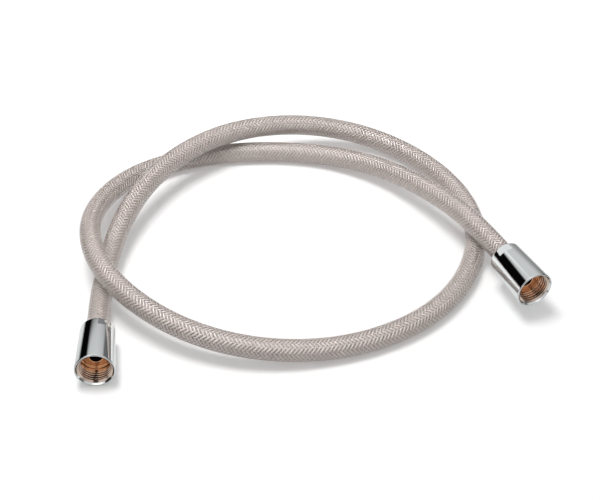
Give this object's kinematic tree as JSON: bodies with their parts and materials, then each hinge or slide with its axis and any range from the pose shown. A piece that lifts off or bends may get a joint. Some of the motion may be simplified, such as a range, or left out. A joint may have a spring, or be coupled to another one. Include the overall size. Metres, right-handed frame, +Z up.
{
  "type": "bath sprayer hose",
  "caption": "Flexible braided bath sprayer hose with a clear outer jacket, laid in two crossing loops, with a conical chrome swivel nut at each end.",
  "frame": {"origin": "on the surface that the hose lies on, under the middle of the box round the two end fittings", "axes": "+Z up; +X to the right, from the left end fitting towards the right one; +Y to the back of the loops. The two nut mouths face towards -Y"},
  "size_m": [0.2981, 0.2529, 0.0322],
  "materials": {
    "nut_chrome": "polished chrome plate",
    "tail_brass": "turned, copper coloured",
    "ferrule_steel": "drawn and crimped",
    "slip_plastic": "smooth",
    "jacket_clear": "clear, glossy",
    "braid_silver": "fine metallised yarn, braided",
    "liner_white": "smooth"
  },
  "bodies": {
    "hose": {"inner_tube": "liner_white", "braid_sleeve": "braid_silver", "clear_jacket": "jacket_clear", "hose_tail_a": "tail_brass", "hose_tail_b": "tail_brass", "ferrule_a": "ferrule_steel", "ferrule_b": "ferrule_steel"},
    "slip_a": {"slip_ring_a": "slip_plastic"},
    "nut_a": {"cone_nut_a": "nut_chrome"},
    "slip_b": {"slip_ring_b": "slip_plastic"},
    "nut_b": {"cone_nut_b": "nut_chrome"}
  },
  "joints": [
    {"name": "nut_a_slide", "type": "slide", "parent": "hose", "child": "slip_a", "axis": [-0.0697, 0.9968, -0.0402], "range_m": [0, 0.008]},
    {"name": "nut_a_swivel", "type": "hinge", "parent": "slip_a", "child": "nut_a", "pos_m": [-0.13215, -0.03535, 0.01159], "axis": [0.0697, -0.9968, 0.0402], "continuous": true},
    {"name": "nut_b_slide", "type": "slide", "parent": "hose", "child": "slip_b", "axis": [-0.4067, 0.9135, 0], "range_m": [-0.0025, 0.0055]},
    {"name": "nut_b_swivel", "type": "hinge", "parent": "slip_b", "child": "nut_b", "pos_m": [0.1267, 0.0253, 0.02], "axis": [0.4067, -0.9135, 0], "continuous": true}
  ]
}
